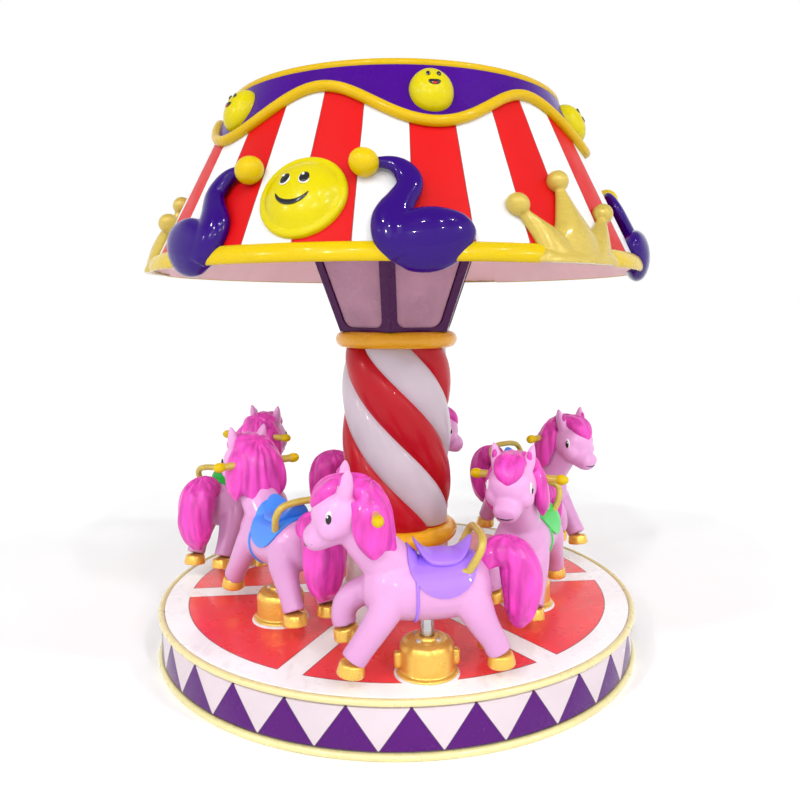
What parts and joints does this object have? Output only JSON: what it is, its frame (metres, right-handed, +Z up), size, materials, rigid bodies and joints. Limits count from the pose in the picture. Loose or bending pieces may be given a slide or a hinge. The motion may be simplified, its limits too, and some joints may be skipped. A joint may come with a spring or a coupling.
{
  "type": "fairground carousel",
  "caption": "Small children's carousel: lifting ponies on a turning round deck with a twisted centre column under a striped lampshade canopy.",
  "frame": {"origin": "on the ground under the centre of the round base", "axes": "+Z up along the turning axis; the picture looks along +Y, so -Y is the front and +X is to its right"},
  "size_m": [2.248, 2.2419, 2.4593],
  "materials": {
    "white_gelcoat": "glossy white fibreglass gelcoat",
    "gold_trim": "glossy gold-coloured moulded trim",
    "gold_paint": "glossy gold paint over steel",
    "yellow_gelcoat": "glossy yellow gelcoat",
    "collar_gold": "glossy amber-gold gelcoat",
    "twist_gelcoat": "glossy gelcoat, red and white spiral",
    "stripe_gelcoat": "glossy gelcoat, red and white stripes",
    "lantern_purple": "glossy purple gelcoat",
    "lantern_panel": "translucent mauve acrylic",
    "pale_ceiling": "plain pale pink gelcoat",
    "valance_purple": "deep purple gelcoat with fine metal flake",
    "horn_violet": "dark violet gelcoat with fine metal flake",
    "crown_gold": "pale gold gelcoat",
    "pony_pink": "pale pink gelcoat with hot pink mane",
    "post_steel": "polished steel tube"
  },
  "bodies": {
    "base": {"base_drum": "white_gelcoat", "base_bead": "gold_trim"},
    "turntable": {"deck": "white_gelcoat", "deck_bead": "gold_trim", "column_plinth": "white_gelcoat", "lower_collar": "collar_gold", "upper_collar": "collar_gold", "twist_column": "twist_gelcoat", "lantern_frame": "lantern_purple", "lantern_panels": "lantern_panel", "canopy_shell": "stripe_gelcoat", "canopy_ceiling": "pale_ceiling", "canopy_roof": "white_gelcoat", "top_ring": "yellow_gelcoat", "rim_bar": "yellow_gelcoat", "valance": "valance_purple", "valance_bead": "yellow_gelcoat", "face_1": "yellow_gelcoat", "crown_1": "crown_gold", "face_2": "yellow_gelcoat", "crown_2": "crown_gold", "face_3": "yellow_gelcoat", "crown_3": "crown_gold", "horn_1": "horn_violet", "horn_2": "horn_violet", "horn_3": "horn_violet", "horn_4": "horn_violet", "horn_5": "horn_violet", "horn_6": "horn_violet", "pedestal_1": "gold_paint", "pedestal_2": "gold_paint", "pedestal_3": "gold_paint", "pedestal_4": "gold_paint", "pedestal_5": "gold_paint", "pedestal_6": "gold_paint"},
    "pony_1": {"pony_1_body": "pony_pink", "pony_1_handlebar": "gold_paint", "pony_1_backrest": "gold_paint", "pony_1_post": "post_steel"},
    "pony_2": {"pony_2_body": "pony_pink", "pony_2_handlebar": "gold_paint", "pony_2_backrest": "gold_paint", "pony_2_post": "post_steel"},
    "pony_3": {"pony_3_body": "pony_pink", "pony_3_handlebar": "gold_paint", "pony_3_backrest": "gold_paint", "pony_3_post": "post_steel"},
    "pony_4": {"pony_4_body": "pony_pink", "pony_4_handlebar": "gold_paint", "pony_4_backrest": "gold_paint", "pony_4_post": "post_steel"},
    "pony_5": {"pony_5_body": "pony_pink", "pony_5_handlebar": "gold_paint", "pony_5_backrest": "gold_paint", "pony_5_post": "post_steel"},
    "pony_6": {"pony_6_body": "pony_pink", "pony_6_handlebar": "gold_paint", "pony_6_backrest": "gold_paint", "pony_6_post": "post_steel"}
  },
  "joints": [
    {"name": "turntable_spin", "type": "hinge", "parent": "base", "child": "turntable", "pos_m": [0, 0, 0.19], "axis": [0, 0, 1], "continuous": true},
    {"name": "pony_1_lift", "type": "slide", "parent": "turntable", "child": "pony_1", "axis": [0, 0, 1], "range_m": [-0.03, 0.09]},
    {"name": "pony_2_lift", "type": "slide", "parent": "turntable", "child": "pony_2", "axis": [0, 0, 1], "range_m": [-0.055, 0.065]},
    {"name": "pony_3_lift", "type": "slide", "parent": "turntable", "child": "pony_3", "axis": [0, 0, 1], "range_m": [-0.05, 0.07]},
    {"name": "pony_4_lift", "type": "slide", "parent": "turntable", "child": "pony_4", "axis": [0, 0, 1], "range_m": [-0.075, 0.045]},
    {"name": "pony_5_lift", "type": "slide", "parent": "turntable", "child": "pony_5", "axis": [0, 0, 1], "range_m": [-0.07, 0.05]},
    {"name": "pony_6_lift", "type": "slide", "parent": "turntable", "child": "pony_6", "axis": [0, 0, 1], "range_m": [-0.03, 0.09]}
  ]
}
